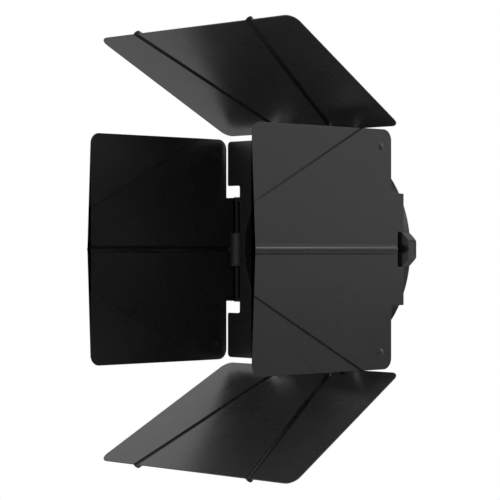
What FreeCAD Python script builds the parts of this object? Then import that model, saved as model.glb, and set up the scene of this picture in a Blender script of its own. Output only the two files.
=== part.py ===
"""Four-leaf barn-door set for a studio lamp with a 7-inch reflector.

A mount ring clamps on the rim of the reflector with three thumb screws.  A door ring turns on it and
carries the square front plate and four hinge blocks.  Four sheet-metal leaves swing on pins through them.

Frame, in millimetres: +Z up, the beam leaves along -Y, +X is the right-hand leaf.
The origin is on the axis of the ring, half way along the bore that takes the reflector's rim.
"""
import FreeCAD, Part
import math
import os

V = FreeCAD.Vector
AXIS_X, AXIS_Y, AXIS_Z = V(1, 0, 0), V(0, 1, 0), V(0, 0, 1)

# ---- Driving dimensions -------------------------------------------------------------------------
# Mount ring, which takes the reflector's rim
BORE_DIAMETER = 185.0         # the largest rim that goes in
BORE_DEPTH = 13.2             # from the seat to the open rear end
SEAT_THICKNESS = 2.0          # lip in front of the rim
SEAT_WIDTH = 4.0              # how far that lip reaches inwards
MOUNT_WALL = 2.8
FLANGE_STEP = 2.4             # shoulder that keeps the mount ring inside the door ring
FLANGE_LENGTH = 5.6

# Clamp screws and their lugs
CLAMP_ANGLES = (60.0, 180.0, 300.0)
CLAMP_TRAVEL = 7.0
STUD_DIAMETER = 5.0
LUG_WIDTH = 18.0
LUG_LENGTH = 11.2             # along the axis of the ring
LUG_HEIGHT = 8.5              # from the bore outwards
LUG_RELIEF = 0.8              # the lugs stand back this far from the bore behind its open end
LUG_CHAMFER = 1.4
PAD_DIAMETER = 8.0
PAD_THICKNESS = 2.8
PAD_CHAMFER = 0.5
SPIGOT_DIAMETER = 2.5         # end of the stud, which carries the pad
SPIGOT_LENGTH = 1.4
INSERT_DIAMETER = 7.6
KNOB_DIAMETER = 12.0
KNOB_LENGTH = 8.0
KNOB_CHAMFER = 0.8
KNOB_SOCKET = 4.0             # how far the stud goes into the knob
KNOB_FLUTES = 16
FLUTE_DIAMETER = 1.4

# Door ring, which turns on the mount ring
RING_WALL = 3.5
WEB_THICKNESS = 2.5
DRUM_WALL = 4.7
GLIDE_THICKNESS = 0.7
SNAP_WIRE = 2.0
SNAP_GAP_ANGLE = 8.0
RING_REAR_LIP = 1.5
RING_CHAMFER = 0.5

# Front plate
PLATE_MARGIN = 6.2            # from the pins' axes out to the edge of the plate
PLATE_THICKNESS = 1.2
PLATE_CORNER = 4.0
APERTURE_MARGIN = 11.5        # how much smaller the aperture's radius is than the bore's
APERTURE_LIP = 3.0            # turned back into the drum
RECESS_SIDE_GAP = 11.4        # each side of a tongue
RECESS_FLOOR_GAP = 0.8        # from the drum out to the floor of a recess
RECESS_CORNER = 2.0
PLATE_SCREW_OFFSET = 4.0      # from the drum's radius out to the screws
PLATE_SCREW_DIAMETER = 4.0
PLATE_SCREW_LENGTH = 14.0
PLATE_BOSS_DIAMETER = 11.0
SOCKET_ACROSS_FLATS = 0.5     # hexagon socket of a screw, as a share of its diameter
SOCKET_DEPTH = 0.45

# Hinges
HINGE_INSET = 2.9             # the pins lie this far inside the outside of the door ring
PIN_DIAMETER = 6.0
PIN_HEAD_DIAMETER = 8.4
PIN_HEAD = 0.8
BARREL_DIAMETER = 16.0
BLOCK_WIDTH = 30.6
BLOCK_RISE = 9.0              # from the door ring out to the block's raised face
BLOCK_TOP_WIDTH = 18.2
BLOCK_SHOULDER_RISE = 4.5     # where the sides of the block begin to slope
BLOCK_TAPER = 0.4             # share of the block's length over which its sides close in at the rear
BLOCK_TAPER_SLOPE = 0.75      # how far they close in, for each mm of that length
CROWN_FRONT_RUN = 0.8         # run of the front bevel for each mm that it rises
CROWN_REAR_RUN = 0.5
CROWN_REAR_WIDTH = 0.8        # share of BLOCK_TOP_WIDTH left at the rear
ARM_THICKNESS = 6.4
WASHER_DIAMETER = 14.0
WASHER_THICKNESS = 0.8
SLEEVE_DIAMETER = 10.0
SPRING_DIAMETER = 12.5
SPRING_LENGTH = 1.6
BLOCK_SCREW_DIAMETER = 3.0
BLOCK_SCREW_SPACING = 18.0
EAR_RADIUS = 6.5

# Leaves: lengths run forwards from the pin, widths across
SHEET = 1.0
LEAF_OFFSET = 10.0            # from the pin's axis to the inner face of the sheet
LEAF_ROOT = 6.2               # where the broad part of a leaf begins
LEAF_CORNER = 10.0
SIDE_END_GAP = 21.2           # from a closed side leaf's front edge to the pin on the far side
SIDE_OVERHANG = 2.2           # beyond each end of the plate
SIDE_OPENING = 0.0            # degrees outwards from parallel with the beam
CROSS_EXTRA_LENGTH = 2.0      # longer than the side leaves
CROSS_OVERHANG = 9.4
CROSS_FLARE = 15.2            # how far each side slopes out from root to tip
CROSS_OPENING = 30.0
TONGUE_WIDTH = 100.4
TONGUE_TAIL = 10.2            # how far the tongue runs back past the pin
NOTCH_DEPTH = 8.0
BEAD_RADIUS = 4.25            # outside of the pressed stiffening beads
BEAD_HEIGHT = 3.5
SIDE_BEAD_START = 3.0
CROSS_BEAD_START = 16.0
CROSS_BEAD_ROOT, CROSS_BEAD_TIP = 34.0, 75.0
CREASE_FRONT = 37.4           # where the crease leaves the front edge, from the middle
CREASE_SIDE = 42.0            # where it reaches the side edge, from the pin
CREASE_STEP = 1.4
CREASE_RAMP = 0.9
CREASE_SCORE, CREASE_SCORE_DEPTH = 1.0, 0.45   # groove along the foot of the crease, outside only
DIMPLE_DIAMETER = 6.4         # pressed outwards near the hinge-side corners
DIMPLE_HEIGHT = 1.3
DIMPLE_FORWARD = 19.8
DIMPLE_INSET = 15.5           # from the side edge of the leaf

# ---- Clearances ---------------------------------------------------------------------------------
RUNNING = 0.05                # radial, pin in its bore
TURNING = 0.3                 # radial, mount ring in the door ring
FACE_GAP = 0.1                # between faces that slide on each other
SEATED = 0.1                  # a piece in its socket
OPEN_GAP = 0.4                # between pieces that pass each other
SWEEP_GAP = 1.0               # behind the swinging tongues

# ---- Sizes that follow --------------------------------------------------------------------------
BORE_R = BORE_DIAMETER / 2
MOUNT_R = BORE_R + MOUNT_WALL
FLANGE_R = MOUNT_R + FLANGE_STEP
RING_INNER = FLANGE_R + TURNING
RING_R = RING_INNER + RING_WALL
APERTURE_R = BORE_R - APERTURE_MARGIN
DRUM_INNER = APERTURE_R + PLATE_THICKNESS + SEATED
DRUM_R = DRUM_INNER + DRUM_WALL
HINGE_RADIUS = RING_R - HINGE_INSET
BLOCK_TOP = RING_R + BLOCK_RISE
BLOCK_SHOULDER = RING_R + BLOCK_SHOULDER_RISE
PLATE_SIDE = 2 * (HINGE_RADIUS + PLATE_MARGIN)
RECESS_WIDTH = TONGUE_WIDTH + 2 * RECESS_SIDE_GAP
RECESS_FLOOR = DRUM_R + RECESS_FLOOR_GAP
PLATE_SCREW_RADIUS = DRUM_R + PLATE_SCREW_OFFSET
SIDE_LENGTH = 2 * HINGE_RADIUS - SIDE_END_GAP
SIDE_WIDTH = PLATE_SIDE + 2 * SIDE_OVERHANG
CROSS_LENGTH = SIDE_LENGTH + CROSS_EXTRA_LENGTH
CROSS_ROOT_WIDTH = PLATE_SIDE + 2 * CROSS_OVERHANG
CROSS_TIP_WIDTH = CROSS_ROOT_WIDTH + 2 * CROSS_FLARE
DIMPLE_ACROSS = SIDE_WIDTH / 2 - DIMPLE_INSET
NOTCH_WIDTH = BLOCK_WIDTH + 2 * OPEN_GAP
TAIL_SWEEP = math.hypot(LEAF_OFFSET + SHEET, TONGUE_TAIL)
BEAD_MIDDLE = LEAF_OFFSET + SHEET + BEAD_HEIGHT - BEAD_RADIUS
BEAD_END_SWEEP = math.hypot(BEAD_MIDDLE, SIDE_BEAD_START)
NOTCH_SWEEP = math.hypot(LEAF_OFFSET + SHEET, TONGUE_TAIL - NOTCH_DEPTH)

SEAT_Y = -BORE_DEPTH / 2
MOUNT_REAR = BORE_DEPTH / 2
MOUNT_FRONT = SEAT_Y - SEAT_THICKNESS
FLANGE_REAR = MOUNT_FRONT + FLANGE_LENGTH
WEB_REAR = MOUNT_FRONT - FACE_GAP - GLIDE_THICKNESS
WEB_FRONT = WEB_REAR - WEB_THICKNESS
SNAP_Y = FLANGE_REAR + FACE_GAP + SNAP_WIRE / 2
RING_REAR = SNAP_Y + SNAP_WIRE / 2 + RING_REAR_LIP
HINGE_Y = WEB_FRONT - SWEEP_GAP - TAIL_SWEEP
PLATE_REAR = HINGE_Y - LEAF_OFFSET + CREASE_STEP + OPEN_GAP + PLATE_THICKNESS
PLATE_FRONT = PLATE_REAR - PLATE_THICKNESS
BLOCK_FRONT = HINGE_Y + NOTCH_SWEEP + OPEN_GAP
LUG_FRONT = RING_REAR + 2 * OPEN_GAP
CLAMP_Y = LUG_FRONT + LUG_LENGTH / 2
LUG_TOP = BORE_R + LUG_HEIGHT
PAD_SEAT = BORE_R + SEATED + PAD_THICKNESS
KNOB_START = LUG_TOP + CLAMP_TRAVEL + OPEN_GAP
RIGHT, TOP, LEFT, BOTTOM = "right", "top", "left", "bottom"
SIDES = (RIGHT, TOP, LEFT, BOTTOM)


# ---- Helpers ------------------------------------------------------------------------------------
def save(shape, name):
    """Write one named piece as parts/NAME.step."""
    shape.exportStep(os.path.join("parts", name + ".step"))


def rod(radius, start, direction, length):
    return Part.makeCylinder(radius, length, start, direction)


def tube(outer, inner, start, direction, length):
    return rod(outer, start, direction, length).cut(rod(inner, start, direction, length))


def box(low, high):
    size = high - low
    return Part.makeBox(size.x, size.y, size.z, low)


def fused(shapes):
    return shapes[0].multiFuse(shapes[1:]).removeSplitter()


def revolved(profile):
    """Turn a closed (radius, y) profile about the axis of the ring."""
    points = [V(radius, y, 0) for radius, y in profile]
    face = Part.Face(Part.makePolygon(points + points[:1]))
    return face.revolve(V(0, 0, 0), AXIS_Y, 360)


def rounded_wire(corners, to_3d):
    """Closed wire through (a, b, radius) corners, each rounded; to_3d places (a, b) in space."""
    arcs = [corner_arc(corners[i - 1], corners[i], corners[(i + 1) % len(corners)])
            for i in range(len(corners))]
    edges = []
    for index, (start, middle, end) in enumerate(arcs):
        edges.append(Part.LineSegment(to_3d(*arcs[index - 1][2]), to_3d(*start)).toShape())
        if middle is not None:
            edges.append(Part.Arc(to_3d(*start), to_3d(*middle), to_3d(*end)).toShape())
    return Part.Wire(edges)


def corner_arc(before, corner, after):
    """Start, middle and end of the arc that rounds a corner (all the corner itself when it is sharp)."""
    a, b, radius = corner
    if radius == 0:
        return (a, b), None, (a, b)
    ways = []
    for point in (before, after):
        length = math.hypot(point[0] - a, point[1] - b)
        ways.append(((point[0] - a) / length, (point[1] - b) / length))
    (ax, ay), (bx, by) = ways
    half = math.acos(ax * bx + ay * by) / 2
    reach = radius / math.tan(half)
    toward = math.hypot(ax + bx, ay + by)
    depth = radius / math.sin(half) - radius
    middle = (a + (ax + bx) / toward * depth, b + (ay + by) / toward * depth)
    return (a + ax * reach, b + ay * reach), middle, (a + bx * reach, b + by * reach)


def to_side(shape, side):
    """Turn a piece made for the right-hand side to its own side of the ring."""
    turned = shape.copy()
    turned.rotate(V(0, 0, 0), AXIS_Y, -90 * SIDES.index(side))
    return turned


def swung(shape, side):
    """Open a leaf's piece about its pin by the angle its side stands at, then turn it to its side."""
    opened = shape.copy()
    angle = SIDE_OPENING if side in (RIGHT, LEFT) else CROSS_OPENING
    opened.rotate(V(HINGE_RADIUS, HINGE_Y, 0), AXIS_Z, angle)
    return to_side(opened, side)


def mirrored_pair(shape):
    """A piece and its mirror image across the middle of the hinge."""
    return Part.makeCompound([shape, shape.mirror(V(0, 0, 0), AXIS_Z)])


# ---- Leaves -------------------------------------------------------------------------------------
def on_leaf(outward):
    """Map (forward, across) on a leaf to space, at a distance outward from the pin's axis."""
    return lambda forward, across: V(HINGE_RADIUS + outward, HINGE_Y - forward, across)


def leaf_prism(corners, inner, outer):
    """A plate with the given outline between two distances from the pin's axis."""
    face = Part.Face(rounded_wire(corners, on_leaf(inner)))
    return face.extrude(V(outer - inner, 0, 0))


def leaf_outline(length, root_width, tip_width):
    """Outline of a leaf with its hinge tongue and the notch that clears the hinge block."""
    root, tip = root_width / 2, tip_width / 2
    tongue, notch = TONGUE_WIDTH / 2, NOTCH_WIDTH / 2
    half = [
        (length, tip, LEAF_CORNER),
        (LEAF_ROOT, root, LEAF_CORNER),
        (LEAF_ROOT, tongue, SHEET),
        (-TONGUE_TAIL, tongue, SHEET),
        (-TONGUE_TAIL, notch, 0),
        (-TONGUE_TAIL + NOTCH_DEPTH, notch, 0),
    ]
    return half + [(forward, -across, radius) for forward, across, radius in reversed(half)]


def bead(start, end, length):
    """Outside and inside of a pressed bead from start to the front edge, as (forward, across) points."""
    place = on_leaf(BEAD_MIDDLE)
    first, last = place(*start), place(*end)
    way = (last - first).normalize()
    run = (last - first).Length + 2 * BEAD_RADIUS
    keep = box(V(HINGE_RADIUS + LEAF_OFFSET, HINGE_Y - length, -SIDE_WIDTH),
               V(HINGE_RADIUS + BLOCK_TOP, HINGE_Y + BEAD_RADIUS, SIDE_WIDTH))
    shells = []
    for radius in (BEAD_RADIUS, BEAD_RADIUS - SHEET):
        shells.append(rod(radius, first, way, run).fuse(Part.makeSphere(radius, first)))
    return shells[0].common(keep), shells[1]


def creased_corner(outline, sheet, side_sign):
    """Push one front corner of a side leaf inwards by the crease's step, with a ramp along the crease."""
    far = SIDE_WIDTH + SIDE_LENGTH
    front = V(SIDE_LENGTH, side_sign * CREASE_FRONT, 0)
    side = V(CREASE_SIDE, side_sign * SIDE_WIDTH / 2, 0)
    along = (front - side).normalize()
    across = V(-along.y, along.x, 0) * side_sign
    reach = far * along

    def strip(near, width):
        points = [side - reach + across * near, front + reach + across * near,
                  front + reach + across * (near + width), side - reach + across * (near + width)]
        return [(point.x, point.y, 0) for point in points]

    inner, outer = LEAF_OFFSET, LEAF_OFFSET + SHEET
    section = [(0, inner), (0, outer), (CREASE_RAMP, outer - CREASE_STEP), (CREASE_RAMP, inner - CREASE_STEP)]
    base = side - reach
    points = [on_leaf(level)(base.x + across.x * w, base.y + across.y * w) for w, level in section]
    ramp_face = Part.Face(Part.makePolygon(points + points[:1]))
    ramp_way = on_leaf(0)((2 * reach).x, (2 * reach).y) - on_leaf(0)(0, 0)
    whole = leaf_prism(outline, inner - SHEET, outer + SHEET)
    low = leaf_prism(outline, inner - CREASE_STEP, outer - CREASE_STEP)
    kept = sheet.cut(leaf_prism(strip(0, far), inner - SHEET, outer + SHEET))
    ramp = whole.common(ramp_face.extrude(ramp_way))
    corner = low.common(leaf_prism(strip(CREASE_RAMP, far), inner - SHEET, outer + SHEET))
    score = leaf_prism(strip(CREASE_RAMP, CREASE_SCORE), outer - CREASE_STEP - CREASE_SCORE_DEPTH, outer)
    return fused([kept, ramp, corner]).cut(score)


def dimple(across):
    """Outside and inside of a round dimple pressed outwards near the hinge side of a leaf."""
    half = DIMPLE_DIAMETER / 2
    radius = (half ** 2 + DIMPLE_HEIGHT ** 2) / (2 * DIMPLE_HEIGHT)
    face = LEAF_OFFSET + SHEET
    middle = on_leaf(face + DIMPLE_HEIGHT - radius)(DIMPLE_FORWARD, across)
    foot = on_leaf(face - SHEET / 2)(DIMPLE_FORWARD, across)
    outside = Part.makeSphere(radius, middle).common(rod(DIMPLE_DIAMETER, foot, AXIS_X, radius))
    return outside, Part.makeSphere(radius - SHEET, middle)


def ears():
    """The two ears bent in from the sides of the tongue, which hold the pin."""
    foot = HINGE_RADIUS + LEAF_OFFSET + SHEET / 2
    outer = TONGUE_WIDTH / 2
    lug = rod(EAR_RADIUS, V(HINGE_RADIUS, HINGE_Y, outer - SHEET), AXIS_Z, SHEET)
    neck = box(V(HINGE_RADIUS, HINGE_Y - EAR_RADIUS, outer - SHEET), V(foot, HINGE_Y + EAR_RADIUS, outer))
    hole = rod(PIN_DIAMETER / 2, V(HINGE_RADIUS, HINGE_Y, 0), AXIS_Z, TONGUE_WIDTH)
    return lug.fuse(neck).cut(hole)


def leaf(side):
    """One door leaf: a sheet with its tongue, ears and pressed beads."""
    crosswise = side in (TOP, BOTTOM)
    length = CROSS_LENGTH if crosswise else SIDE_LENGTH
    widths = (CROSS_ROOT_WIDTH, CROSS_TIP_WIDTH) if crosswise else (SIDE_WIDTH, SIDE_WIDTH)
    outline = leaf_outline(length, *widths)
    sheet = leaf_prism(outline, LEAF_OFFSET, LEAF_OFFSET + SHEET)
    if crosswise:
        runs = [((CROSS_BEAD_START, sign * CROSS_BEAD_ROOT), (length, sign * CROSS_BEAD_TIP))
                for sign in (1, -1)]
    else:
        for sign in (1, -1):
            sheet = creased_corner(outline, sheet, sign)
            outside, inside = dimple(sign * DIMPLE_ACROSS)
            sheet = sheet.fuse(outside).cut(inside)
        runs = [((SIDE_BEAD_START, 0), (length, 0))]
    for start, end in runs:
        outside, inside = bead(start, end, length)
        sheet = sheet.fuse(outside).cut(inside)
    ear = ears()
    return fused([sheet, ear, ear.mirror(V(0, 0, 0), AXIS_Z)])


# ---- Hinge hardware -----------------------------------------------------------------------------
def on_pin(across):
    return V(HINGE_RADIUS, HINGE_Y, across)


def hinge_pin():
    """Steel pin through both ears, riveted over in a low head at each end."""
    half = TONGUE_WIDTH / 2
    heads = [rod(PIN_HEAD_DIAMETER / 2, on_pin(start), AXIS_Z, PIN_HEAD)
             for start in (half, -half - PIN_HEAD)]
    return fused([rod(PIN_DIAMETER / 2, on_pin(-half), AXIS_Z, TONGUE_WIDTH)] + heads)


def pin_stack():
    """Friction washers, sleeves and spring washers between the block and the ears, by name."""
    bore = PIN_DIAMETER / 2 + RUNNING
    washer_start = BLOCK_WIDTH / 2 + FACE_GAP
    sleeve_start = washer_start + WASHER_THICKNESS
    spring_start = TONGUE_WIDTH / 2 - SHEET - SPRING_LENGTH
    pieces = {
        "friction_washers": (WASHER_DIAMETER, washer_start, WASHER_THICKNESS),
        "hinge_sleeves": (SLEEVE_DIAMETER, sleeve_start, spring_start - sleeve_start),
    }
    stack = {name: mirrored_pair(tube(diameter / 2, bore, on_pin(start), AXIS_Z, length))
             for name, (diameter, start, length) in pieces.items()}
    cone = Part.makeCone(SPRING_DIAMETER / 2, SLEEVE_DIAMETER / 2, SPRING_LENGTH, on_pin(spring_start), AXIS_Z)
    hollow = rod(bore, on_pin(spring_start), AXIS_Z, SPRING_LENGTH)
    stack["spring_washers"] = mirrored_pair(cone.cut(hollow))
    return stack


def block_screw_places():
    radius = (HINGE_RADIUS + DRUM_R) / 2 + BLOCK_SCREW_DIAMETER
    return [V(radius, BLOCK_FRONT, sign * BLOCK_SCREW_SPACING / 2) for sign in (1, -1)]


def countersunk(diameter, place, length):
    """Room for a flush countersunk screw that goes in along the axis of the ring."""
    radius = diameter / 2
    head = Part.makeCone(2 * radius, radius, radius, place, AXIS_Y)
    return rod(radius, place, AXIS_Y, length).fuse(head)


def socketed(screw, diameter, place):
    """Cut the hexagon socket in the head of a screw."""
    corner = SOCKET_ACROSS_FLATS * diameter / math.sqrt(3)
    points = [place + V(corner * math.cos(turn), 0, corner * math.sin(turn))
              for turn in (math.radians(60 * step) for step in range(6))]
    socket = Part.Face(Part.makePolygon(points + points[:1])).extrude(AXIS_Y * SOCKET_DEPTH * diameter)
    return screw.cut(socket)


def block_screw(place):
    """From the front of the hinge block into the web of the door ring."""
    return countersunk(BLOCK_SCREW_DIAMETER, place, WEB_REAR - BLOCK_FRONT)


def hinge_block():
    """Moulded block: bevelled outer boss, front leg on the ring's web and an arm to the pin's barrel."""
    half, top_half = BLOCK_WIDTH / 2, BLOCK_TOP_WIDTH / 2
    arm_low = DRUM_R + OPEN_GAP
    barrel = rod(BARREL_DIAMETER / 2, on_pin(-half), AXIS_Z, BLOCK_WIDTH)
    arm = box(V(arm_low, HINGE_Y, -half), V(arm_low + ARM_THICKNESS, WEB_FRONT, half))
    leg = box(V(arm_low, BLOCK_FRONT, -half), V(BLOCK_SHOULDER, WEB_FRONT, half))
    cut_back = (RING_REAR - BLOCK_FRONT) * BLOCK_TAPER
    rear_half = half - cut_back * BLOCK_TAPER_SLOPE
    base = [(BLOCK_FRONT, half), (BLOCK_FRONT, -half), (RING_REAR - cut_back, -half),
            (RING_REAR, -rear_half), (RING_REAR, rear_half), (RING_REAR - cut_back, half)]
    bevel = BLOCK_TOP - BLOCK_SHOULDER
    low_y, high_y = BLOCK_FRONT + bevel * CROWN_FRONT_RUN, RING_REAR - bevel * CROWN_REAR_RUN
    inner = top_half * CROWN_REAR_WIDTH
    crown = [(low_y, top_half), (low_y, -top_half), (high_y - bevel, -top_half),
             (high_y, -inner), (high_y, inner), (high_y - bevel, top_half)]

    def ring_of(points, radius):
        corners = [V(radius, y, across) for y, across in points]
        return Part.makePolygon(corners + corners[:1])

    foot = Part.Face(ring_of(base, HINGE_RADIUS)).extrude(V(BLOCK_SHOULDER - HINGE_RADIUS, 0, 0))
    boss = Part.makeLoft([ring_of(base, BLOCK_SHOULDER), ring_of(crown, BLOCK_TOP)], True, True)
    block = fused([foot, boss, leg, arm, barrel])
    block = block.cut(rod(RING_R, V(0, WEB_FRONT, 0), AXIS_Y, RING_REAR - WEB_FRONT + SHEET))
    block = block.cut(rod(PIN_DIAMETER / 2 + RUNNING, on_pin(-half), AXIS_Z, BLOCK_WIDTH))
    channel = BEAD_RADIUS + OPEN_GAP
    end_room = Part.makeTorus(BEAD_END_SWEEP, channel, on_pin(0), AXIS_Z)
    end_room = end_room.cut(rod(BARREL_DIAMETER / 2, on_pin(-channel), AXIS_Z, 2 * channel))
    open_bead = rod(channel, V(HINGE_RADIUS + SIDE_BEAD_START, HINGE_Y + BEAD_MIDDLE, 0), AXIS_X, BLOCK_TOP)
    block = block.cut(end_room.common(box(V(arm_low + ARM_THICKNESS, HINGE_Y, -half), V(BLOCK_TOP, 0, half))))
    block = block.cut(open_bead)
    for place in block_screw_places():
        block = block.cut(block_screw(place))
    return block


# ---- Front plate, door ring and what holds them -------------------------------------------------
def plate_screw_places():
    reach = PLATE_SCREW_RADIUS * math.sqrt(0.5)
    return [V(x * reach, PLATE_FRONT, z * reach) for x in (1, -1) for z in (1, -1)]


def plate_screw(place):
    """Through the plate into a boss of the door ring."""
    return countersunk(PLATE_SCREW_DIAMETER, place, PLATE_SCREW_LENGTH)


def plate_outline():
    """Square with a recess in the middle of each side, as rounded corners."""
    half, recess, floor = PLATE_SIDE / 2, RECESS_WIDTH / 2, RECESS_FLOOR
    quarter = [(half, -half, PLATE_CORNER), (half, -recess, RECESS_CORNER), (floor, -recess, RECESS_CORNER),
               (floor, recess, RECESS_CORNER), (half, recess, RECESS_CORNER)]
    corners = []
    for turn in range(4):
        for a, b, radius in quarter:
            for _ in range(turn):
                a, b = -b, a
            corners.append((a, b, radius))
    return corners


def front_plate():
    wire = rounded_wire(plate_outline(), lambda a, b: V(a, PLATE_FRONT, b))
    plate = Part.Face(wire).extrude(V(0, PLATE_THICKNESS, 0))
    lip = rod(APERTURE_R + PLATE_THICKNESS, V(0, PLATE_FRONT, 0), AXIS_Y, PLATE_THICKNESS + APERTURE_LIP)
    plate = plate.fuse(lip)
    plate = plate.cut(rod(APERTURE_R, V(0, PLATE_FRONT, 0), AXIS_Y, PLATE_THICKNESS + APERTURE_LIP))
    for place in plate_screw_places():
        plate = plate.cut(plate_screw(place))
    return plate.removeSplitter()


def door_ring():
    """Drum behind the plate, web, and the outer wall that turns on the mount ring."""
    shell = revolved([
        (DRUM_INNER, PLATE_REAR), (DRUM_R, PLATE_REAR), (DRUM_R, WEB_FRONT),
        (RING_R - RING_CHAMFER, WEB_FRONT), (RING_R, WEB_FRONT + RING_CHAMFER),
        (RING_R, RING_REAR - RING_CHAMFER), (RING_R - RING_CHAMFER, RING_REAR), (RING_INNER, RING_REAR),
        (RING_INNER, WEB_REAR), (DRUM_INNER, WEB_REAR),
    ])
    bosses = [rod(PLATE_BOSS_DIAMETER / 2, V(place.x, PLATE_REAR, place.z), AXIS_Y, WEB_FRONT - PLATE_REAR)
              for place in plate_screw_places()]
    ring = fused([shell] + bosses)
    groove = Part.makeTorus(RING_INNER, SNAP_WIRE / 2 + RUNNING, V(0, SNAP_Y, 0), AXIS_Y)
    ring = ring.cut(groove)
    light_path = rod(DRUM_INNER, V(0, PLATE_FRONT, 0), AXIS_Y, WEB_REAR - PLATE_FRONT)
    ring = ring.cut(light_path)
    for place in plate_screw_places():
        ring = ring.cut(plate_screw(place))
    for side in SIDES:
        for place in block_screw_places():
            ring = ring.cut(to_side(block_screw(place), side))
    return ring


def glide_washer():
    """Flat acetal ring between the web and the mount ring."""
    inner = BORE_R - SEAT_WIDTH
    return tube(RING_INNER - TURNING, inner, V(0, WEB_REAR, 0), AXIS_Y, GLIDE_THICKNESS)


def snap_ring():
    """Open ring of spring wire in the groove of the door ring, behind the mount ring's flange."""
    circle = Part.Face(Part.Wire(Part.makeCircle(SNAP_WIRE / 2, V(RING_INNER, SNAP_Y, 0), AXIS_Z)))
    wire = circle.revolve(V(0, 0, 0), AXIS_Y, 360 - SNAP_GAP_ANGLE)
    wire.rotate(V(0, 0, 0), AXIS_Y, SNAP_GAP_ANGLE / 2)
    return wire


# ---- Mount ring and clamp screws ----------------------------------------------------------------
def at_clamp(shape, angle):
    """Turn a piece made on +X to its clamp screw's place, counted from +X towards +Z."""
    turned = shape.copy()
    turned.rotate(V(0, 0, 0), AXIS_Y, -angle)
    return turned


def clamp_axis(radius):
    return V(radius, CLAMP_Y, 0)


def insert_shape():
    """Brass insert in a lug, bored for the clamp screw."""
    length = LUG_TOP - PAD_SEAT - SEATED
    return tube(INSERT_DIAMETER / 2, STUD_DIAMETER / 2 + RUNNING, clamp_axis(PAD_SEAT + SEATED), AXIS_X, length)


def mount_ring():
    ring = revolved([
        (BORE_R - SEAT_WIDTH, MOUNT_FRONT), (FLANGE_R, MOUNT_FRONT), (FLANGE_R, FLANGE_REAR),
        (MOUNT_R, FLANGE_REAR), (MOUNT_R, MOUNT_REAR), (BORE_R, MOUNT_REAR), (BORE_R, SEAT_Y),
        (BORE_R - SEAT_WIDTH, SEAT_Y),
    ])
    lug = box(V(BORE_R - MOUNT_WALL, LUG_FRONT, -LUG_WIDTH / 2), V(LUG_TOP, LUG_FRONT + LUG_LENGTH, LUG_WIDTH / 2))
    lug = lug.makeChamfer(LUG_CHAMFER, [edge for edge in lug.Edges if edge.CenterOfMass.x > LUG_TOP - LUG_CHAMFER])
    lug = lug.cut(rod(BORE_R + LUG_RELIEF, V(0, LUG_FRONT, 0), AXIS_Y, LUG_LENGTH))
    ring = fused([ring] + [at_clamp(lug, angle) for angle in CLAMP_ANGLES])
    for angle in CLAMP_ANGLES:
        ring = ring.cut(at_clamp(rod(PAD_DIAMETER / 2 + SEATED, clamp_axis(0), AXIS_X, PAD_SEAT + SEATED), angle))
        ring = ring.cut(at_clamp(rod(INSERT_DIAMETER / 2, clamp_axis(0), AXIS_X, LUG_TOP), angle))
    return ring


def clamp_stud():
    """Plain shank with a short spigot that carries the pad."""
    shank = rod(STUD_DIAMETER / 2, clamp_axis(PAD_SEAT), AXIS_X, KNOB_START + KNOB_SOCKET - PAD_SEAT)
    spigot = rod(SPIGOT_DIAMETER / 2, clamp_axis(PAD_SEAT - SPIGOT_LENGTH), AXIS_X, SPIGOT_LENGTH)
    return fused([shank, spigot])


def clamp_pad():
    pad = rod(PAD_DIAMETER / 2, clamp_axis(PAD_SEAT - PAD_THICKNESS), AXIS_X, PAD_THICKNESS)
    rim = [edge for edge in pad.Edges if abs(edge.CenterOfMass.x - (PAD_SEAT - PAD_THICKNESS)) < SEATED]
    pad = pad.makeChamfer(PAD_CHAMFER, rim)
    return pad.cut(rod(SPIGOT_DIAMETER / 2, clamp_axis(PAD_SEAT - SPIGOT_LENGTH), AXIS_X, SPIGOT_LENGTH))


def clamp_knob():
    """Round fluted knob moulded on the end of the stud."""
    knob = rod(KNOB_DIAMETER / 2, clamp_axis(KNOB_START), AXIS_X, KNOB_LENGTH)
    knob = knob.makeChamfer(KNOB_CHAMFER, [edge for edge in knob.Edges if edge.Closed])
    for flute in range(KNOB_FLUTES):
        angle = 2 * math.pi * flute / KNOB_FLUTES
        start = V(KNOB_START, CLAMP_Y + math.cos(angle) * KNOB_DIAMETER / 2, math.sin(angle) * KNOB_DIAMETER / 2)
        knob = knob.cut(rod(FLUTE_DIAMETER / 2, start, AXIS_X, KNOB_LENGTH))
    return knob.cut(rod(STUD_DIAMETER / 2, clamp_axis(KNOB_START), AXIS_X, KNOB_SOCKET))


# ---- Assembly -----------------------------------------------------------------------------------
def main():
    os.makedirs("parts", exist_ok=True)
    save(mount_ring(), "mount_ring")
    save(Part.makeCompound([at_clamp(insert_shape(), angle) for angle in CLAMP_ANGLES]), "thread_inserts")
    clamp_pieces = {"clamp_stud": clamp_stud(), "clamp_pad": clamp_pad(), "clamp_knob": clamp_knob()}
    for number, angle in enumerate(CLAMP_ANGLES, 1):
        for name, shape in clamp_pieces.items():
            save(at_clamp(shape, angle), f"{name}_{number}")

    save(door_ring(), "door_ring")
    save(front_plate(), "front_plate")
    save(glide_washer(), "glide_washer")
    save(snap_ring(), "snap_ring")
    screws = [socketed(plate_screw(place), PLATE_SCREW_DIAMETER, place) for place in plate_screw_places()]
    save(Part.makeCompound(screws), "plate_screws")
    screws = [to_side(socketed(block_screw(place), BLOCK_SCREW_DIAMETER, place), side)
              for side in SIDES for place in block_screw_places()]
    save(Part.makeCompound(screws), "block_screws")

    block, pin, stack = hinge_block(), hinge_pin(), pin_stack()
    for side in SIDES:
        save(to_side(block, side), f"hinge_block_{side}")
        save(swung(leaf(side), side), f"leaf_{side}")
        save(swung(pin, side), f"hinge_pin_{side}")
        for name, shape in stack.items():
            save(swung(shape, side), f"{name}_{side}")


main()
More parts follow.
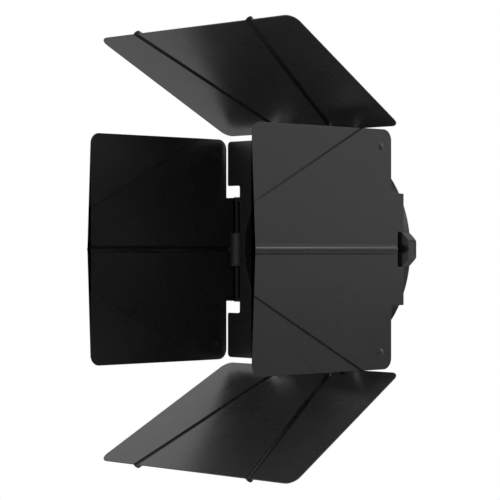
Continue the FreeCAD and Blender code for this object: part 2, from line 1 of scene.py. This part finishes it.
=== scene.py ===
# %% [markdown]
# # Barn doors for a studio lamp
#
# This set of four hinged leaves clips on the front of a round reflector and trims the light. The exact
# parts come from the design model, already in place and in metres. Here they get their finish: black
# powder coat, moulded nylon, plated steel, brass and acetal, with soft light and a camera in front.

# %% Load the design model
import math

import bpy
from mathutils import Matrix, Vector


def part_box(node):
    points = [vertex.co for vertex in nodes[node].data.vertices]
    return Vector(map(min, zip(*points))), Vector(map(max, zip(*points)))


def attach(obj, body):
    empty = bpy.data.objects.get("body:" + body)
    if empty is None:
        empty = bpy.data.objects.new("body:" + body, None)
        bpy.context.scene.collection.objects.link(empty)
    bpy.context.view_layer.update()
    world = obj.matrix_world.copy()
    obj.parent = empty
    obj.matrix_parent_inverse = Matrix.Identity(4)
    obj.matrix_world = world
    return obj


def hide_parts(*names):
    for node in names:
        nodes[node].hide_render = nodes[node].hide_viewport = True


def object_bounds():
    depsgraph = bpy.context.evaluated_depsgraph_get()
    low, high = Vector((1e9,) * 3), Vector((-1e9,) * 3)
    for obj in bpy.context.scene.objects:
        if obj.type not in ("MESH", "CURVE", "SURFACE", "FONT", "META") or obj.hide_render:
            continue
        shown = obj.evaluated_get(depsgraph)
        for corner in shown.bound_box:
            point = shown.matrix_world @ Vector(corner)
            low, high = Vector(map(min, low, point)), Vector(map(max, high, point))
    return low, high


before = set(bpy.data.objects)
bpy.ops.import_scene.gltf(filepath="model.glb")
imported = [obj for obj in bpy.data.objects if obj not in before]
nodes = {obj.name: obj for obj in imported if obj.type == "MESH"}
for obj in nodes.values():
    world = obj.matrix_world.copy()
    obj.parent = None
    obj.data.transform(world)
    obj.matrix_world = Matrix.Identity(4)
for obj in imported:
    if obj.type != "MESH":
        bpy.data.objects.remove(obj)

cad_low, cad_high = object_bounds()
print("pieces from the design model:", len(nodes))

# %% [markdown]
# ## Units and places
#
# Blender works in metres, but a maker thinks in millimetres, so one factor turns them over. The place
# that the camera needs is read from the model itself: the plane that the four hinge pins lie in.

# %% Places read from the model
MM = 0.001
SIDES = ("right", "top", "left", "bottom")
pin_low, pin_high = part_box("hinge_pin_right")
hinge_plane_y = (pin_low.y + pin_high.y) / 2
print("hinge pins lie at y =", round(hinge_plane_y / MM, 2), "mm")

# %% [markdown]
# ## The camera
#
# A long lens from nearly two metres away keeps the perspective mild. It stands level with the axis of
# the ring, turned 45 degrees from the front, and looks a little to the left of the ring, so that the
# leaves fill the frame evenly.

# %% Camera
CAMERA_DISTANCE = 1.8126          # metres from the axis, in the hinge plane
CAMERA_BEARING = math.radians(45.05)
LOOK_BEARING = math.radians(46.82)
CAMERA_DROP = 0.6 * MM             # below the axis
CAMERA_LENS = 139.1                # focal length in millimetres

camera_data = bpy.data.cameras.new("camera")
camera_data.lens = CAMERA_LENS
camera = bpy.data.objects.new("camera", camera_data)
bpy.context.scene.collection.objects.link(camera)
camera.location = Vector((math.sin(CAMERA_BEARING), -math.cos(CAMERA_BEARING), 0)) * CAMERA_DISTANCE
camera.location += Vector((0, hinge_plane_y, -CAMERA_DROP))
camera.rotation_euler = (math.radians(90), 0, LOOK_BEARING)
bpy.context.scene.camera = camera
bpy.context.scene.view_settings.view_transform = "Standard"
print("camera at", [round(c, 3) for c in camera.location])

# %% [markdown]
# ## Material helpers
#
# Colours are written as the hex values that a paint chart gives, and one function turns them into the
# linear numbers that the renderer wants. Another adds one shader node with its settings and links, so
# each finish below reads as a list of what it is made of.

# %% Colour and node helpers
def linear(hex_colour):
    """sRGB hex to linear red, green, blue, alpha."""
    channels = [int(hex_colour[i:i + 2], 16) / 255 for i in (1, 3, 5)]
    return [c / 12.92 if c <= 0.04045 else ((c + 0.055) / 1.055) ** 2.4 for c in channels] + [1.0]


def add_node(material, kind, inputs=None, **settings):
    """Add a shader node: settings are its properties, inputs are values or other nodes' outputs."""
    tree = material.node_tree
    node = tree.nodes.new("ShaderNode" + kind)
    for name, value in settings.items():
        setattr(node, name, value)
    for name, value in (inputs or {}).items():
        if isinstance(value, bpy.types.NodeSocket):
            tree.links.new(value, node.inputs[name])
        else:
            node.inputs[name].default_value = value
    return node


def start_material(name, **surface):
    """A new material with its Principled surface: returns both, with the given sockets set."""
    material = bpy.data.materials.new(name)
    material.use_nodes = True
    shader = material.node_tree.nodes["Principled BSDF"]
    for socket, value in surface.items():
        shader.inputs[socket.replace("_", " ")].default_value = value
    return material, shader


def finish_material(material, shader, **outputs):
    """Link patterns to the surface's sockets."""
    for socket, output in outputs.items():
        material.node_tree.links.new(output, shader.inputs[socket.replace("_", " ")])
    return material

# %% [markdown]
# ## Satin black powder coat
#
# The leaves, the plate and the rings are aluminium, sprayed with dry polyester powder and baked until it
# flows. The film levels out almost smooth but keeps a faint orange peel one or two millimetres across,
# which breaks up every reflection. The coat is thicker and rougher on the cast ring than on the sheet.
# Handling leaves faint cloudy differences in gloss, so the roughness follows a large soft pattern.

# %% Powder coat
HANDLING_CLOUD = 55 * MM
GLOSS_PATCH = 22 * MM


def powder_coat(name, dark, light, peel_mm, peel_depth_mm, gloss_low, gloss_high):
    material, shader = start_material(name, IOR=1.385)
    where = add_node(material, "TexCoord").outputs["Object"]
    cloud = add_node(material, "TexNoise", {"Vector": where, "Scale": 1 / HANDLING_CLOUD, "Detail": 3.0})
    shade = add_node(material, "Mix", {0: cloud.outputs["Fac"], 6: linear(dark), 7: linear(light)},
                     data_type="RGBA")
    wear = add_node(material, "TexNoise", {"Vector": where, "Scale": 1 / GLOSS_PATCH, "Detail": 5.0,
                                          "Roughness": 0.6})
    gloss = add_node(material, "MapRange", {"Value": wear.outputs["Fac"], "From Min": 0.3, "From Max": 0.7,
                                           "To Min": gloss_low, "To Max": gloss_high})
    peel = add_node(material, "TexNoise", {"Vector": where, "Scale": 1 / (peel_mm * MM), "Detail": 1.0})
    relief = add_node(material, "Bump", {"Height": peel.outputs["Fac"], "Distance": peel_depth_mm * MM})
    return finish_material(material, shader, Base_Color=shade.outputs[2], Roughness=gloss.outputs["Result"],
                           Normal=relief.outputs["Normal"])


sheet_coat = powder_coat("satin_powder_coat_on_sheet", "#222223", "#262627", 1.8, 0.003, 0.26, 0.31)
casting_coat = powder_coat("satin_powder_coat_on_casting", "#212122", "#262627", 1.3, 0.02, 0.36, 0.44)
print("finishes:", sheet_coat.name, "and", casting_coat.name)

# %% [markdown]
# ## Moulded nylon
#
# The hinge blocks and the knobs are injection-moulded nylon with glass fibre, from a spark-eroded mould.
# The mould's fine pits give an even grain of about a third of a millimetre, and the fibres near the skin
# leave slightly paler, flatter clouds. The colour goes right through, so there is no worn edge.

# %% Glass-filled nylon
black_nylon, shader = start_material("moulded_glass_filled_nylon", IOR=1.53)
where = add_node(black_nylon, "TexCoord").outputs["Object"]
cloud = add_node(black_nylon, "TexNoise", {"Vector": where, "Scale": 1 / (7 * MM), "Detail": 4.0})
shade = add_node(black_nylon, "Mix", {0: cloud.outputs["Fac"], 6: linear("#1a1a1b"), 7: linear("#232324")},
                 data_type="RGBA")
gloss = add_node(black_nylon, "MapRange", {"Value": cloud.outputs["Fac"], "To Min": 0.46, "To Max": 0.62})
grain = add_node(black_nylon, "TexVoronoi", {"Vector": where, "Scale": 1 / (0.35 * MM)})
relief = add_node(black_nylon, "Bump", {"Height": grain.outputs["Distance"], "Distance": 0.02 * MM})
finish_material(black_nylon, shader, Base_Color=shade.outputs[2], Roughness=gloss.outputs["Result"],
                Normal=relief.outputs["Normal"])
print("finish:", black_nylon.name)

# %% [markdown]
# ## Metals
#
# Pins, clamp studs and washers are steel, the inserts are brass and the hinge sleeves are aluminium. All
# are turned on a lathe or drawn, and then plated, oxidised or anodised. One function builds them, because
# only the colour and the gloss differ: a fine pattern under half a millimetre across breaks up the gloss
# as tool marks under plating do, and a soft cloud varies the colour where the piece has been handled.

# %% Turned and plated metals
def turned_metal(name, dark, light, rough_low, rough_high, mark_mm):
    material, shader = start_material(name, Metallic=1.0)
    where = add_node(material, "TexCoord").outputs["Object"]
    cloud = add_node(material, "TexNoise", {"Vector": where, "Scale": 1 / (9 * MM), "Detail": 3.0})
    shade = add_node(material, "Mix", {0: cloud.outputs["Fac"], 6: linear(dark), 7: linear(light)},
                     data_type="RGBA")
    marks = add_node(material, "TexNoise", {"Vector": where, "Scale": 1 / (mark_mm * MM), "Detail": 2.0})
    gloss = add_node(material, "MapRange", {"Value": marks.outputs["Fac"], "From Min": 0.3, "From Max": 0.7,
                                           "To Min": rough_low, "To Max": rough_high})
    relief = add_node(material, "Bump", {"Height": marks.outputs["Fac"], "Distance": 0.004 * MM})
    return finish_material(material, shader, Base_Color=shade.outputs[2], Roughness=gloss.outputs["Result"],
                           Normal=relief.outputs["Normal"])


zinc_steel = turned_metal("bright_zinc_plated_steel", "#a9acb0", "#c3c6ca", 0.24, 0.38, 0.4)
spring_steel = turned_metal("oiled_spring_steel", "#6b6966", "#8a8783", 0.28, 0.42, 0.5)
black_oxide = turned_metal("black_oxide_steel", "#232426", "#303235", 0.34, 0.48, 0.5)
turned_brass = turned_metal("turned_brass", "#b08d4c", "#cda862", 0.24, 0.36, 0.4)
anodised_sleeve = turned_metal("black_anodised_aluminium", "#1c1c1e", "#262629", 0.34, 0.46, 0.3)
print("metals:", [m.name for m in (zinc_steel, spring_steel, black_oxide, turned_brass, anodised_sleeve)])

# %% [markdown]
# ## Acetal and vulcanised fibre
#
# The glide ring and the pads are natural acetal, a milky plastic that lets a little light in. The
# friction washers are punched from black fibre board, pressed paper with short hairs running every way.

# %% Plastics inside the hinges
acetal, shader = start_material("natural_acetal", IOR=1.48, Subsurface_Weight=0.15, Subsurface_Scale=1.5 * MM)
where = add_node(acetal, "TexCoord").outputs["Object"]
cloud = add_node(acetal, "TexNoise", {"Vector": where, "Scale": 1 / (6 * MM), "Detail": 3.0})
shade = add_node(acetal, "Mix", {0: cloud.outputs["Fac"], 6: linear("#dcdbd3"), 7: linear("#ebeae4")},
                 data_type="RGBA")
gloss = add_node(acetal, "MapRange", {"Value": cloud.outputs["Fac"], "To Min": 0.34, "To Max": 0.46})
finish_material(acetal, shader, Base_Color=shade.outputs[2], Roughness=gloss.outputs["Result"])

fibre, shader = start_material("pressed_vulcanised_fibre", IOR=1.54)
where = add_node(fibre, "TexCoord").outputs["Object"]
hairs = add_node(fibre, "TexNoise", {"Vector": where, "Scale": 1 / (0.6 * MM), "Detail": 4.0})
shade = add_node(fibre, "Mix", {0: hairs.outputs["Fac"], 6: linear("#232120"), 7: linear("#34302d")},
                 data_type="RGBA")
gloss = add_node(fibre, "MapRange", {"Value": hairs.outputs["Fac"], "To Min": 0.62, "To Max": 0.8})
relief = add_node(fibre, "Bump", {"Height": hairs.outputs["Fac"], "Distance": 0.03 * MM})
finish_material(fibre, shader, Base_Color=shade.outputs[2], Roughness=gloss.outputs["Result"],
                Normal=relief.outputs["Normal"])
print("finishes:", acetal.name, fibre.name)

# %% [markdown]
# ## Which piece has which finish
#
# A list by the start of each piece's name keeps this in one place.

# %% Give every piece its finish
FINISHES = {
    "leaf_": sheet_coat, "front_plate": sheet_coat,
    "mount_ring": casting_coat, "door_ring": casting_coat,
    "hinge_block_": black_nylon, "clamp_knob_": black_nylon,
    "hinge_pin_": zinc_steel, "clamp_stud_": zinc_steel,
    "spring_washers_": spring_steel, "snap_ring": spring_steel,
    "plate_screws": black_oxide, "block_screws": black_oxide,
    "thread_inserts": turned_brass, "hinge_sleeves_": anodised_sleeve,
    "glide_washer": acetal, "clamp_pad_": acetal, "friction_washers_": fibre,
}
for name, piece in nodes.items():
    finish = next(material for start, material in FINISHES.items() if name.startswith(start))
    piece.data.materials.clear()
    piece.data.materials.append(finish)
print("pieces with a finish:", len(nodes))

# %% [markdown]
# ## Real edges on sheet and mouldings
#
# No edge of the real doors is knife-sharp. Sheared sheet is tumbled before coating, the powder builds up
# a small round on every edge, and a press leaves a soft foot beside each bead. Those rounds catch the
# light, and without them the doors look cut from card. A copy of the exact piece is cleaned in edit mode,
# where its loose triangles are joined and flat faces are made whole, and a bevel rounds its edges.

# %% A copy with rounded edges
JOIN_WITHIN = 0.02 * MM            # corners of loose triangles that are one point
FLAT_WITHIN = math.radians(0.5)    # faces that turn by less than this are one flat face
SHARP_FROM = math.radians(30)      # edges that turn by more than this get a round
ROUND_STEPS = 3
MOST_SKIN_CHANGE = 0.05            # a folded or closed-over face would change the area by more


def select_only(piece):
    bpy.ops.object.select_all(action="DESELECT")
    piece.select_set(True)
    bpy.context.view_layer.objects.active = piece


def clean_copy(node_name):
    """A joined copy of a design piece, with its flat faces made whole."""
    piece = nodes[node_name].copy()
    piece.data = nodes[node_name].data.copy()
    piece.name = node_name + "_finished"
    bpy.context.scene.collection.objects.link(piece)
    select_only(piece)
    bpy.ops.object.mode_set(mode="EDIT")
    bpy.ops.mesh.select_all(action="SELECT")
    bpy.ops.mesh.remove_doubles(threshold=JOIN_WITHIN)
    bpy.ops.mesh.dissolve_limited(angle_limit=FLAT_WITHIN)
    bpy.ops.object.mode_set(mode="OBJECT")
    return piece


def round_edges(piece, radius, is_crisp=None, crisp_share=1.0):
    """Round every sharp edge and shade the rest smooth.

    Edges for which is_crisp says True get only crisp_share of the radius."""
    select_only(piece)
    bevel = piece.modifiers.new("rounded_edges", "BEVEL")
    bevel.width = radius
    bevel.segments = ROUND_STEPS
    bevel.limit_method = "ANGLE"
    bevel.angle_limit = SHARP_FROM
    if is_crisp:
        bpy.ops.object.mode_set(mode="EDIT")
        bpy.ops.mesh.select_mode(type="EDGE")
        bpy.ops.mesh.select_all(action="DESELECT")
        bpy.ops.mesh.edges_select_sharp(sharpness=SHARP_FROM)
        bpy.ops.object.mode_set(mode="OBJECT")
        weights = piece.data.attributes.new("bevel_weight_edge", "FLOAT", "EDGE")
        for edge in piece.data.edges:
            if edge.select:
                weights.data[edge.index].value = crisp_share if is_crisp(piece.data, edge) else 1.0
        bevel.limit_method = "WEIGHT"
    bevel.use_clamp_overlap = False
    bpy.ops.object.modifier_apply(modifier=bevel.name)
    bpy.ops.object.shade_smooth()
    flats = piece.modifiers.new("flat_faces_stay_flat", "WEIGHTED_NORMAL")
    flats.weight = 100
    bpy.ops.object.modifier_apply(modifier=flats.name)


def skin_area(piece):
    return sum(face.area for face in piece.data.polygons)


def stand_in_for(piece, node_name, body):
    """Hang a finished piece on its body in place of the design piece, once its area has been checked."""
    share = skin_area(piece) / skin_area(nodes[node_name])
    assert abs(share - 1) < MOST_SKIN_CHANGE, (piece.name, share)
    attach(piece, body)
    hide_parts(node_name)

# %% [markdown]
# ## The leaves and the plate
#
# Each leaf is one millimetre sheet, blanked, pressed with its beads and then coated. The front plate is a
# little thicker. Powder leaves a round of about a third of a millimetre on such edges. The slanting
# creases are scored by the press tool, so their edges stay crisp and read as one dark line. Only the
# side leaves have them. Those leaves stand straight out, so a crease is found as a long edge that runs
# neither along the leaf nor across it.

# %% Finish the leaves and the plate
LEAF_ROUND, PLATE_ROUND = 0.35 * MM, 0.3 * MM
CREASE_ROUND_SHARE = 0.2           # of the leaf's round
CREASE_LENGTH = 20 * MM            # only a crease has slanting edges longer than this
CREASE_SLANT = 0.35                # least share of its length in each direction of the sheet


def is_crease(mesh, edge):
    """Whether an edge of a side leaf is long and slants."""
    start, end = (mesh.vertices[index].co for index in edge.vertices)
    run = end - start
    return run.length > CREASE_LENGTH and min(abs(run.y), abs(run.z)) > CREASE_SLANT * run.length


for side in SIDES:
    leaf = clean_copy("leaf_" + side)
    if side in ("right", "left"):
        round_edges(leaf, LEAF_ROUND, is_crease, CREASE_ROUND_SHARE)
    else:
        round_edges(leaf, LEAF_ROUND)
    stand_in_for(leaf, "leaf_" + side, "door_" + side)
    print(leaf.name, len(leaf.data.polygons), "faces")
plate = clean_copy("front_plate")
round_edges(plate, PLATE_ROUND)
stand_in_for(plate, "front_plate", "door_frame")

# %% [markdown]
# ## The hinge blocks
#
# A moulded block has generous rounds, because sharp corners in the mould would crack the nylon. Its outer
# face carries a shallow panel, which keeps the wall there even so that it doesn't sink as it cools. The
# panel is an inset of the outermost face, pushed in by under half a millimetre.

# %% Finish the hinge blocks
OUTWARD = {"right": Vector((1, 0, 0)), "top": Vector((0, 0, 1)),
           "left": Vector((-1, 0, 0)), "bottom": Vector((0, 0, -1))}
PANEL_BORDER, PANEL_DEPTH = 1.6 * MM, 0.4 * MM
BLOCK_ROUND = 0.6 * MM
SAME_WAY = 0.99                    # cosine between a face and the way outwards
OUTERMOST = 0.1 * MM               # how near the block's far side the outer face lies

for side, outward in OUTWARD.items():
    block = clean_copy("hinge_block_" + side)
    reach = max(outward.dot(vertex.co) for vertex in block.data.vertices)
    bpy.ops.object.mode_set(mode="EDIT")
    bpy.ops.mesh.select_mode(type="FACE")
    bpy.ops.object.mode_set(mode="OBJECT")
    for face in block.data.polygons:
        face.select = face.normal.dot(outward) > SAME_WAY and outward.dot(face.center) > reach - OUTERMOST
    chosen = sum(face.select for face in block.data.polygons)
    bpy.ops.object.mode_set(mode="EDIT")
    bpy.ops.mesh.inset(thickness=PANEL_BORDER, depth=0)
    bpy.ops.mesh.inset(thickness=PANEL_DEPTH, depth=-PANEL_DEPTH)
    bpy.ops.object.mode_set(mode="OBJECT")
    round_edges(block, BLOCK_ROUND)
    stand_in_for(block, "hinge_block_" + side, "door_frame")
    print(block.name, chosen, "outer face,", len(block.data.polygons), "faces")

# %% [markdown]
# ## Pads and pins
#
# The small pads and the pins get the rounds that a tumbling barrel gives. The two rings and the knobs
# need no copy: their chamfers are in the design model. They also couldn't take this one, because a flat
# face with a hole in it, made whole, can close over the hole, and fine flutes fold under a bevel.

# %% Finish the small pieces
PAD_ROUND, PIN_ROUND = 0.2 * MM, 0.25 * MM

for number in ("1", "2", "3"):
    pad = clean_copy("clamp_pad_" + number)
    round_edges(pad, PAD_ROUND)
    stand_in_for(pad, "clamp_pad_" + number, "clamp_screw_" + number)
for side in SIDES:
    pin = clean_copy("hinge_pin_" + side)
    round_edges(pin, PIN_ROUND)
    stand_in_for(pin, "hinge_pin_" + side, "door_" + side)
print("small pieces finished")

# %% [markdown]
# ## Floor
#
# A plain pale sheet lies well below the doors, far enough to stay out of the camera's view, and gives
# the light something to bounce from.

# %% Floor
FLOOR_DROP = 0.42                  # metres below the lowest corner of the doors
FLOOR_MIDDLE = (1.2, 1.2)
FLOOR_RADIUS = 3.2
floor_material, shader = start_material("matt_pale_floor", Roughness=0.9)
where = add_node(floor_material, "TexCoord").outputs["Object"]
cloud = add_node(floor_material, "TexNoise", {"Vector": where, "Scale": 4.0, "Detail": 3.0})
shade = add_node(floor_material, "Mix", {0: cloud.outputs["Fac"], 6: linear("#cdcdcd"), 7: linear("#d3d3d3")},
                 data_type="RGBA")
finish_material(floor_material, shader, Base_Color=shade.outputs[2])
bpy.ops.object.select_all(action="DESELECT")
bpy.ops.mesh.primitive_circle_add(vertices=96, radius=FLOOR_RADIUS, fill_type="NGON",
                                  location=(*FLOOR_MIDDLE, cad_low.z - FLOOR_DROP))
floor = bpy.context.object
floor.name = "floor"
floor.data.materials.append(floor_material)

# %% [markdown]
# ## Light
#
# White surroundings light the doors evenly from all sides and are what the satin coat reflects. A large
# soft panel overhead makes the upper faces a little brighter. A small one at the side lifts the outer
# faces, and one at the front picks out the free edges of the sheet.

# %% Surroundings and panels
world = bpy.data.worlds.new("white_surroundings")
bpy.context.scene.world = world
world.use_nodes = True
world.node_tree.nodes["Background"].inputs["Color"].default_value = (1, 1, 1, 1)
world.node_tree.nodes["Background"].inputs["Strength"].default_value = 1.0


def soft_panel(name, place, target, size, watts):
    """A square area light at place, facing target."""
    data = bpy.data.lights.new(name, "AREA")
    data.size = size
    data.energy = watts
    panel = bpy.data.objects.new(name, data)
    bpy.context.scene.collection.objects.link(panel)
    panel.location = place
    panel.rotation_euler = (Vector(target) - Vector(place)).to_track_quat("-Z", "Y").to_euler()


soft_panel("overhead_panel", (0.5, -0.3, 1.6), (0, -0.1, 0), 1.2, 6)
soft_panel("side_panel", (1.1, 0.95, 0.75), (0.1, -0.1, 0.05), 0.35, 3)
soft_panel("front_panel", (-1.0, -1.5, 0.5), (0, -0.1, 0), 0.7, 9)

# %% [markdown]
# ## Flag and cards
#
# Glossy black shows little but reflections, so they are shaped with cards that stay out of sight. A
# black flag just behind the opening keeps stray light from coming through it, as the dark inside of a
# lamp head does. A grey card low at the back gives the outer faces a soft shade from top to bottom, and
# a dark one at the side of the camera keeps the inner faces deep. None of them shows in a view.

# %% Flag and cards
def unseen_card(name, hex_colour, place, facing, width, height):
    """A flat card that shapes light and reflections and isn't seen itself."""
    bpy.ops.object.select_all(action="DESELECT")
    turn = Vector(facing).to_track_quat("Z", "Y").to_euler()
    bpy.ops.mesh.primitive_plane_add(size=1, location=place, rotation=turn)
    card = bpy.context.object
    card.scale = (width, height, 1)
    card.name = name
    cloth, cloth_shader = start_material(name + "_cloth", Base_Color=linear(hex_colour), Roughness=1.0)
    card.data.materials.append(cloth)
    card.visible_camera = False


unseen_card("black_flag", "#050505", (0, 20 * MM, 0), (0, -1, 0), 0.19, 0.19)
unseen_card("grey_card", "#b4b4b4", (0.84, 0.58, -0.5), (-0.73, -0.68, 0), 1.6, 0.9)
unseen_card("dark_card", "#3c3c3c", (1.75, -1.8, 0.1), (-0.7, 0.7, 0), 2.4, 1.8)
